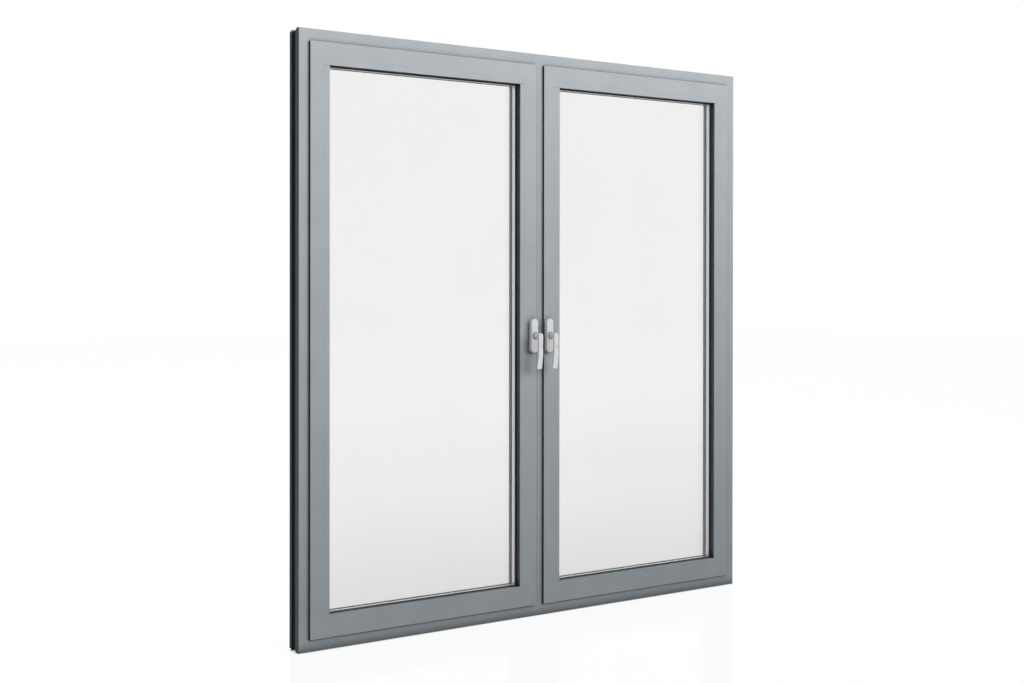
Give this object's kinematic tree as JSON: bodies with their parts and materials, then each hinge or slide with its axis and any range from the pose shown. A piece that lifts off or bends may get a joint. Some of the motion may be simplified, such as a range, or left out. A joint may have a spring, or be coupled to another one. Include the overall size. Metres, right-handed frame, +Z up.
{
  "type": "aluminium window",
  "caption": "Thermally broken aluminium window with a mullion between its glazed sashes, each with a lever handle that turns.",
  "frame": {"origin": "middle of the sill's bearing lip, on its lower face", "axes": "+X to the right as seen from inside the room, +Y from the room to the outside, +Z up"},
  "size_m": [2.1, 0.1288, 2.1],
  "materials": {
    "coated_aluminium": "satin",
    "polyamide": "matte",
    "gasket_rubber": "matte",
    "glass": "gloss",
    "spacer_aluminium": "satin",
    "handle_aluminium": "satin"
  },
  "bodies": {
    "window": {"frame_sill": "coated_aluminium", "frame_left_jamb": "coated_aluminium", "frame_head": "coated_aluminium", "frame_right_jamb": "coated_aluminium", "mullion": "coated_aluminium", "frame_thermal_break": "polyamide", "mullion_thermal_break": "polyamide", "left_sash_bottom_rail": "coated_aluminium", "left_sash_left_stile": "coated_aluminium", "left_sash_top_rail": "coated_aluminium", "left_sash_right_stile": "coated_aluminium", "left_sash_thermal_break": "polyamide", "left_sash_bottom_bead": "coated_aluminium", "left_sash_left_bead": "coated_aluminium", "left_sash_top_bead": "coated_aluminium", "left_sash_right_bead": "coated_aluminium", "left_sash_inner_pane": "glass", "left_sash_outer_pane": "glass", "left_sash_spacer": "spacer_aluminium", "left_sash_inner_gasket": "gasket_rubber", "left_sash_outer_gasket": "gasket_rubber", "left_sash_lap_gasket": "gasket_rubber", "left_sash_centre_gasket": "gasket_rubber", "left_handle_base": "handle_aluminium", "right_sash_bottom_rail": "coated_aluminium", "right_sash_left_stile": "coated_aluminium", "right_sash_top_rail": "coated_aluminium", "right_sash_right_stile": "coated_aluminium", "right_sash_thermal_break": "polyamide", "right_sash_bottom_bead": "coated_aluminium", "right_sash_left_bead": "coated_aluminium", "right_sash_top_bead": "coated_aluminium", "right_sash_right_bead": "coated_aluminium", "right_sash_inner_pane": "glass", "right_sash_outer_pane": "glass", "right_sash_spacer": "spacer_aluminium", "right_sash_inner_gasket": "gasket_rubber", "right_sash_outer_gasket": "gasket_rubber", "right_sash_lap_gasket": "gasket_rubber", "right_sash_centre_gasket": "gasket_rubber", "right_handle_base": "handle_aluminium"},
    "left_lever": {"left_lever": "handle_aluminium"},
    "right_lever": {"right_lever": "handle_aluminium"}
  },
  "joints": [
    {"name": "left_lever_turn", "type": "hinge", "parent": "window", "child": "left_lever", "pos_m": [-0.0375, -0.0345, 1.048], "axis": [0, 1, 0], "range_deg": [0, 90]},
    {"name": "right_lever_turn", "type": "hinge", "parent": "window", "child": "right_lever", "pos_m": [0.0375, -0.0345, 1.048], "axis": [0, -1, 0], "range_deg": [0, 90]}
  ]
}
